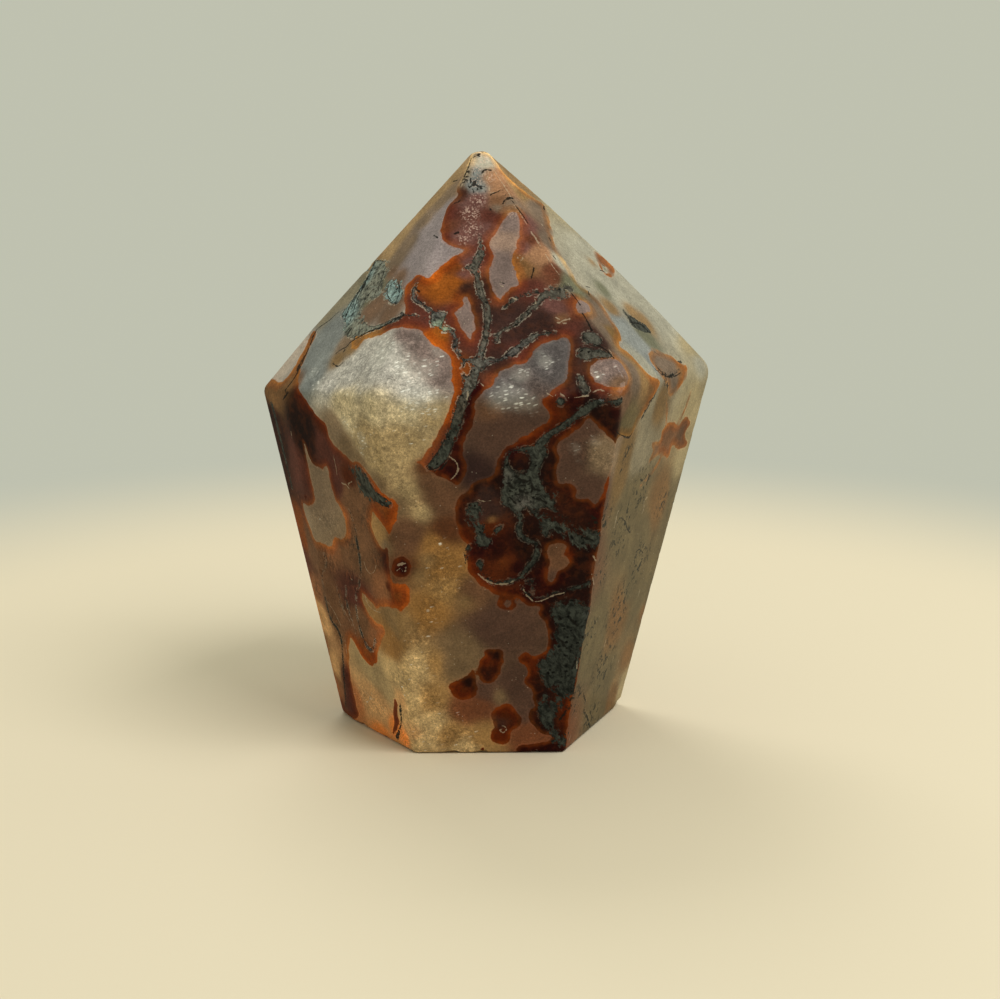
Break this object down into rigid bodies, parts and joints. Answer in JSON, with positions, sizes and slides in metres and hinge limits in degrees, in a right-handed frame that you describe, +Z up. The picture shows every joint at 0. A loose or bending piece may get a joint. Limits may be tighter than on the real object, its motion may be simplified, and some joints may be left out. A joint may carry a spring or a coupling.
{
  "type": "red moss agate tower",
  "caption": "Polished faceted agate tower: a body that widens upwards under a pointed crown, red moss inclusions in grey chalcedony, flat base to stand on.",
  "frame": {"origin": "middle of the stone's box, on the flat base it stands on", "axes": "+Z up along the stone towards its point; -Y is the front facet's side"},
  "size_m": [0.0512, 0.0396, 0.065],
  "materials": {
    "red_moss_agate": "polished"
  },
  "bodies": {
    "root": {"agate_tower": "red_moss_agate"}
  },
  "joints": []
}
